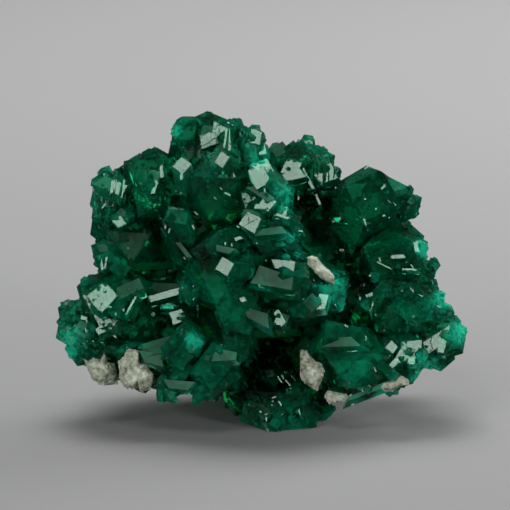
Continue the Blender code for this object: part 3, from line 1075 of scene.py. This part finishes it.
# %% [markdown]
# ## Lumps with breaks and grains
#
# A lump starts as a fine ball. Rays from its middle take each point out to a blocky form that fills
# the outline, a few random planes break pieces off, and tilted grains half a millimetre wide
# roughen it. It never leaves the box of its CAD lump. The noise that tilts the grains takes its
# seed from the clock unless it is given one, so it gets a fixed one here.

# %% Shape the lumps
GRAIN = 0.5 * MM
GRAIN_HEIGHTS = 0.35
GRAIN_TILTS = 0.9
TILT_STIR = 3.1
HEIGHT_STIR = 5.7
NOISE_SEED = 4
BREAKS = 14
BREAK_DEPTHS = (0.9, 1.2)
BLOCKY = 2.6
FINENESS = 6
LEAST_REACH = 0.05
GRAZING = 0.05
TINY = 1e-6


def outline_reach(corners, middle, direction):
    """How far the outline lies from its middle in a direction of the view, in millimetres."""
    found = LEAST_REACH
    for first, second in zip(corners, corners[1:] + corners[:1]):
        start = Vector(first) - middle
        side = Vector(second) - Vector(first)
        slope = direction.cross(side)
        if abs(slope) < TINY:
            continue
        along = start.cross(direction) / slope
        if 0 <= along <= 1:
            found = max(found, start.cross(side) / slope)
    return found


def grain_lift(spot):
    """How far the surface stands out: every grain is a tilted block of its own height."""
    nearest = noise.voronoi(spot / GRAIN)[1][0]
    tilt = noise.noise_vector(nearest * TILT_STIR)
    height = GRAIN_HEIGHTS * noise.noise(nearest * HEIGHT_STIR)
    return (height + GRAIN_TILTS * tilt.dot(spot / GRAIN - nearest)) * GRAIN


def sugar_lump(name, seed):
    lowest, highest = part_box(name)
    corners = OUTLINES[name]
    middle = sum((Vector(corner) for corner in corners), Vector((0, 0))) / len(corners)
    depth = (highest.y - lowest.y) / 2
    back = ((lowest + highest) / 2).dot(BACK)
    centre = RIGHT * middle.x * MM + UP * middle.y * MM + BACK * back
    dice = np.random.default_rng(seed)
    cuts = []
    for _ in range(BREAKS):
        normal = Vector(dice.normal(size=3)).normalized()
        support = sum((n * side / 2) ** 2 for n, side in zip(normal, highest - lowest)) ** 0.5
        cuts.append((normal, support * dice.uniform(*BREAK_DEPTHS)))
    shape = bmesh.new()
    bmesh.ops.create_icosphere(shape, subdivisions=FINENESS, radius=1)
    for vertex in shape.verts:
        ray = vertex.co.normalized()
        flat = Vector((ray.dot(RIGHT), ray.dot(UP)))
        spread = flat.length
        side = outline_reach(corners, middle, flat / spread) * MM if spread > TINY else 1
        reach = ((spread / side) ** BLOCKY + abs(ray.dot(BACK) / depth) ** BLOCKY) ** (-1 / BLOCKY)
        for normal, cut in cuts:
            facing = normal.dot(ray)
            if facing > GRAZING:
                reach = min(reach, cut / facing)
        lift = grain_lift(centre + ray * reach)
        spot = centre + ray * (reach + lift)
        vertex.co = [min(max(c, a), b) for c, a, b in zip(spot, lowest, highest)]
    made = object_of(name + "_sugar", shape)
    for face in made.data.polygons:
        face.use_smooth = False
    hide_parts(name)
    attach(made, "root")
    return made


noise.seed_set(NOISE_SEED)
calcite_nodes = [name for name in sorted(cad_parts) if name.startswith("calcite")]
lumps = [sugar_lump(name, seed) for seed, name in enumerate(calcite_nodes)]
print("faces of the calcite:", sum(len(lump.data.polygons) for lump in lumps))

# %% [markdown]
# ## The colour of the calcite
#
# Cream, with brown and green stains between the grains. Light enters it a little way and comes back
# out, which softens its shadows.

# %% Colour the calcite
def calcite(graph):
    place = graph.node("ShaderNodeTexCoord", out=OBJECT_PLACE)
    stain = graph.node("ShaderNodeTexNoise", {"Vector": place, "Scale": 420.0, "Detail": 5.0})
    grain = graph.node("ShaderNodeTexNoise", {"Vector": place, "Scale": 3500.0, "Detail": 2.0})
    patches = graph.node("ShaderNodeTexNoise", {"Vector": place, "Scale": 1300.0, "Detail": 3.0})
    colour = graph.ramp(
        0.5 * stain + 0.5 * patches,
        (0.36, (0.13, 0.12, 0.08)), (0.44, (0.36, 0.39, 0.28)),
        (0.55, (0.55, 0.6, 0.49)), (0.66, (0.9, 0.93, 0.83)),
    )
    bump = graph.node("ShaderNodeBump", {"Height": grain, "Strength": 0.7, "Distance": 0.2 * MM})
    surface = graph.node("ShaderNodeBsdfPrincipled", {
        "Base Color": colour, "Roughness": 0.4, "Normal": bump, "Subsurface Weight": 0.2,
        "Subsurface Radius": (1.0 * MM, 0.8 * MM, 0.6 * MM), "Subsurface Scale": 1.0,
    })
    graph.node("ShaderNodeOutputMaterial", {"Surface": surface})


white, white_graph = new_material("calcite")
calcite(white_graph)
for lump in lumps:
    lump.data.materials.append(white)
print("nodes in the calcite:", len(white.node_tree.nodes))

# %% [markdown]
# ## The studio
#
# The key lamp, up on the left, is the only one that shows in the crystal faces. The others are
# hidden from reflections: one above and two low ones fill the shadows, one behind on the right
# glows through the thin edges, and the last one lights the floor behind. Each row gives a lamp's
# name, its direction from the cluster, its distance and side in metres, and its power in watts.

# %% Light the studio
AIM = Vector((0, 0, 20 * MM))
LOW_SIDES = {"low left": (-0.8, -0.75, 0.22), "low right": (0.75, -0.8, 0.3)}


def softbox(name, direction, distance, size, power, aim=AIM, mirrored=True):
    lamp = bpy.data.lights.new(name, "AREA")
    lamp.size = size
    lamp.energy = power
    placed = bpy.data.objects.new(name, lamp)
    bpy.context.scene.collection.objects.link(placed)
    towards = Vector(direction).normalized()
    placed.location = aim + towards * distance
    placed.rotation_euler = towards.to_track_quat("Z", "Y").to_euler()
    placed.visible_glossy = mirrored
    return lamp


softbox("key", KEY, 0.6, 0.2, 0.62)
softbox("top", (-0.1, 0.25, 1.0), 0.9, 0.5, 2.3, mirrored=False)
for name, direction in LOW_SIDES.items():
    softbox(name, direction, 0.6, 0.15, 1.05, mirrored=False)
softbox("rim", (0.75, 0.55, 0.4), 0.6, 0.4, 2.6, mirrored=False)
behind = Vector((0, 0.6, 0))
backdrop = softbox("backdrop", (0, -0.35, 1), 0.8, 0.5, 3.5, aim=behind, mirrored=False)
backdrop.spread = math.radians(140)

world = bpy.data.worlds.new("room")
bpy.context.scene.world = world
world.use_nodes = True
room = world.node_tree.nodes["Background"].inputs
room["Color"].default_value = (0.5, 0.52, 0.55, 1)
room["Strength"].default_value = 0.06
bpy.context.scene.view_settings.view_transform = "Standard"

# %% [markdown]
# ## The floor
#
# A pale grey floor, hidden from reflections so that it puts no grey into the crystal faces. It
# belongs to the stage and not to the object.

# %% Lay the floor
FLOOR_REACH = 2
FLOOR_GREY = (0.32, 0.32, 0.32, 1)


def add_floor():
    shape = bmesh.new()
    bmesh.ops.create_grid(shape, x_segments=1, y_segments=1, size=FLOOR_REACH)
    floor = object_of("floor", shape)
    material, graph = new_material("pale floor")
    matt = {"Base Color": FLOOR_GREY, "Roughness": 0.9}
    surface = graph.node("ShaderNodeBsdfPrincipled", matt)
    graph.node("ShaderNodeOutputMaterial", {"Surface": surface})
    floor.data.materials.append(material)
    floor.visible_glossy = False
    return floor


print("floor, metres across:", round(add_floor().dimensions.x))
